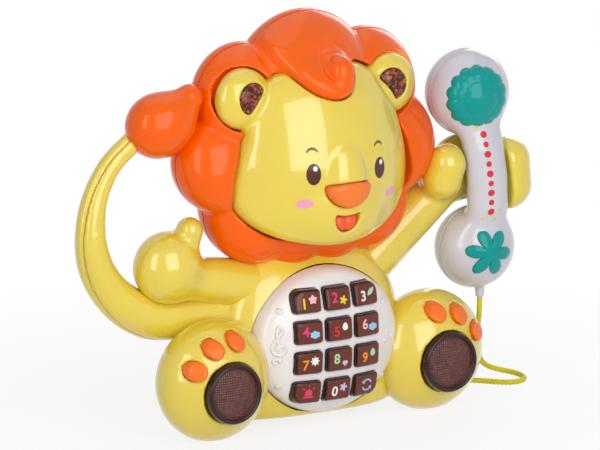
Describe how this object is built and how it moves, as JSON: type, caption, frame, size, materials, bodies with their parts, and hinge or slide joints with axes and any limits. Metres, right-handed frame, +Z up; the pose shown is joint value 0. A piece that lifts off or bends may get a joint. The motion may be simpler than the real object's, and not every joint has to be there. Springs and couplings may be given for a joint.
{
  "type": "toy telephone",
  "caption": "Seated lion-shaped toddler's toy telephone with number keys, light-up toes and ears, and a corded handset held in one paw.",
  "frame": {"origin": "middle of the flat underside of the torso, on the surface that the toy stands on", "axes": "+X to the right of someone who faces the toy, +Y from the toy's front to its back, +Z up"},
  "size_m": [0.3266, 0.0833, 0.2501],
  "materials": {
    "yellow_shell": "glossy moulded ABS",
    "orange_shell": "glossy moulded ABS",
    "nose_orange": "glossy moulded ABS",
    "tongue_red": "satin moulded ABS",
    "panel_white": "glossy moulded ABS",
    "brown_clear": "clear tinted, polished",
    "toe_orange": "glossy moulded ABS",
    "handset_grey": "glossy moulded ABS",
    "teal": "satin moulded ABS",
    "cord_yellow": "satin soft PVC",
    "membrane_rubber": "matte silicone",
    "board_green": "solder mask",
    "screw_steel": "zinc plated",
    "battery_wrap": "printed foil",
    "inner_black": "fine texture",
    "speaker_paper": "paper cone, steel magnet",
    "lamp_amber": "clear epoxy"
  },
  "bodies": {
    "base": {"arm_left_back": "yellow_shell", "arm_left_front": "yellow_shell", "arm_right_back": "yellow_shell", "arm_right_front": "yellow_shell", "batteries": "battery_wrap", "battery_box": "inner_black", "battery_door": "yellow_shell", "belly_panel": "panel_white", "cord_grommet": "cord_yellow", "door_screw": "screw_steel", "ear_lamps": "lamp_amber", "ear_lens_left": "brown_clear", "ear_lens_right": "brown_clear", "face_shell": "yellow_shell", "foot_board_left": "board_green", "foot_board_right": "board_green", "foot_left_back": "yellow_shell", "foot_left_front": "yellow_shell", "foot_right_back": "yellow_shell", "foot_right_front": "yellow_shell", "handset_cord": "cord_yellow", "key_membrane": "membrane_rubber", "main_board": "board_green", "mane_back": "orange_shell", "mane_front": "orange_shell", "nose": "nose_orange", "shell_screws": "screw_steel", "speaker": "speaker_paper", "tail_back": "yellow_shell", "tail_front": "yellow_shell", "tail_tip": "orange_shell", "tongue": "tongue_red", "torso_back": "yellow_shell", "torso_front": "yellow_shell"},
    "key_1_body": {"key_1": "brown_clear"},
    "key_2_body": {"key_2": "brown_clear"},
    "key_3_body": {"key_3": "brown_clear"},
    "key_4_body": {"key_4": "brown_clear"},
    "key_5_body": {"key_5": "brown_clear"},
    "key_6_body": {"key_6": "brown_clear"},
    "key_7_body": {"key_7": "brown_clear"},
    "key_8_body": {"key_8": "brown_clear"},
    "key_9_body": {"key_9": "brown_clear"},
    "key_star_body": {"key_star": "brown_clear"},
    "key_0_body": {"key_0": "brown_clear"},
    "key_hash_body": {"key_hash": "brown_clear"},
    "toe_right_1_body": {"toe_right_1": "toe_orange"},
    "toe_right_2_body": {"toe_right_2": "toe_orange"},
    "toe_right_3_body": {"toe_right_3": "toe_orange"},
    "toe_left_1_body": {"toe_left_1": "toe_orange"},
    "toe_left_2_body": {"toe_left_2": "toe_orange"},
    "toe_left_3_body": {"toe_left_3": "toe_orange"},
    "paw_pad_right_body": {"paw_pad_right": "brown_clear"},
    "paw_pad_left_body": {"paw_pad_left": "brown_clear"},
    "power_switch_body": {"power_switch": "inner_black"},
    "handset": {"handset_front": "handset_grey", "earpiece_cap": "handset_grey", "mouthpiece_cap": "handset_grey", "earpiece_rosette": "teal", "mouthpiece_flower": "teal"}
  },
  "joints": [
    {"name": "key_1_press", "type": "slide", "parent": "base", "child": "key_1_body", "axis": [0, 1, 0], "range_m": [0, 0.0022], "stiffness_N_per_m": 300, "deforming": ["key_membrane"]},
    {"name": "key_2_press", "type": "slide", "parent": "base", "child": "key_2_body", "axis": [0, 1, 0], "range_m": [0, 0.0022], "stiffness_N_per_m": 300, "deforming": ["key_membrane"]},
    {"name": "key_3_press", "type": "slide", "parent": "base", "child": "key_3_body", "axis": [0, 1, 0], "range_m": [0, 0.0022], "stiffness_N_per_m": 300, "deforming": ["key_membrane"]},
    {"name": "key_4_press", "type": "slide", "parent": "base", "child": "key_4_body", "axis": [0, 1, 0], "range_m": [0, 0.0022], "stiffness_N_per_m": 300, "deforming": ["key_membrane"]},
    {"name": "key_5_press", "type": "slide", "parent": "base", "child": "key_5_body", "axis": [0, 1, 0], "range_m": [0, 0.0022], "stiffness_N_per_m": 300, "deforming": ["key_membrane"]},
    {"name": "key_6_press", "type": "slide", "parent": "base", "child": "key_6_body", "axis": [0, 1, 0], "range_m": [0, 0.0022], "stiffness_N_per_m": 300, "deforming": ["key_membrane"]},
    {"name": "key_7_press", "type": "slide", "parent": "base", "child": "key_7_body", "axis": [0, 1, 0], "range_m": [0, 0.0022], "stiffness_N_per_m": 300, "deforming": ["key_membrane"]},
    {"name": "key_8_press", "type": "slide", "parent": "base", "child": "key_8_body", "axis": [0, 1, 0], "range_m": [0, 0.0022], "stiffness_N_per_m": 300, "deforming": ["key_membrane"]},
    {"name": "key_9_press", "type": "slide", "parent": "base", "child": "key_9_body", "axis": [0, 1, 0], "range_m": [0, 0.0022], "stiffness_N_per_m": 300, "deforming": ["key_membrane"]},
    {"name": "key_star_press", "type": "slide", "parent": "base", "child": "key_star_body", "axis": [0, 1, 0], "range_m": [0, 0.0022], "stiffness_N_per_m": 300, "deforming": ["key_membrane"]},
    {"name": "key_0_press", "type": "slide", "parent": "base", "child": "key_0_body", "axis": [0, 1, 0], "range_m": [0, 0.0022], "stiffness_N_per_m": 300, "deforming": ["key_membrane"]},
    {"name": "key_hash_press", "type": "slide", "parent": "base", "child": "key_hash_body", "axis": [0, 1, 0], "range_m": [0, 0.0022], "stiffness_N_per_m": 300, "deforming": ["key_membrane"]},
    {"name": "toe_right_1_press", "type": "slide", "parent": "base", "child": "toe_right_1_body", "axis": [0, 1, 0], "range_m": [0, 0.0015], "stiffness_N_per_m": 400, "deforming": ["foot_board_right"]},
    {"name": "toe_right_2_press", "type": "slide", "parent": "base", "child": "toe_right_2_body", "axis": [0, 1, 0], "range_m": [0, 0.0015], "stiffness_N_per_m": 400, "deforming": ["foot_board_right"]},
    {"name": "toe_right_3_press", "type": "slide", "parent": "base", "child": "toe_right_3_body", "axis": [0, 1, 0], "range_m": [0, 0.0015], "stiffness_N_per_m": 400, "deforming": ["foot_board_right"]},
    {"name": "toe_left_1_press", "type": "slide", "parent": "base", "child": "toe_left_1_body", "axis": [0, 1, 0], "range_m": [0, 0.0015], "stiffness_N_per_m": 400, "deforming": ["foot_board_left"]},
    {"name": "toe_left_2_press", "type": "slide", "parent": "base", "child": "toe_left_2_body", "axis": [0, 1, 0], "range_m": [0, 0.0015], "stiffness_N_per_m": 400, "deforming": ["foot_board_left"]},
    {"name": "toe_left_3_press", "type": "slide", "parent": "base", "child": "toe_left_3_body", "axis": [0, 1, 0], "range_m": [0, 0.0015], "stiffness_N_per_m": 400, "deforming": ["foot_board_left"]},
    {"name": "paw_pad_right_press", "type": "slide", "parent": "base", "child": "paw_pad_right_body", "axis": [0, 1, 0], "range_m": [0, 0.0015], "stiffness_N_per_m": 400, "deforming": ["foot_board_right"]},
    {"name": "paw_pad_left_press", "type": "slide", "parent": "base", "child": "paw_pad_left_body", "axis": [0, 1, 0], "range_m": [0, 0.0015], "stiffness_N_per_m": 400, "deforming": ["foot_board_left"]},
    {"name": "power_switch_slide", "type": "slide", "parent": "base", "child": "power_switch_body", "axis": [1, 0, 0], "range_m": [-0.003, 0.003]},
    {"name": "handset_lift", "type": "slide", "parent": "base", "child": "handset", "axis": [0, -1, 0], "range_m": [0, 0.055], "deforming": ["handset_cord"]}
  ]
}
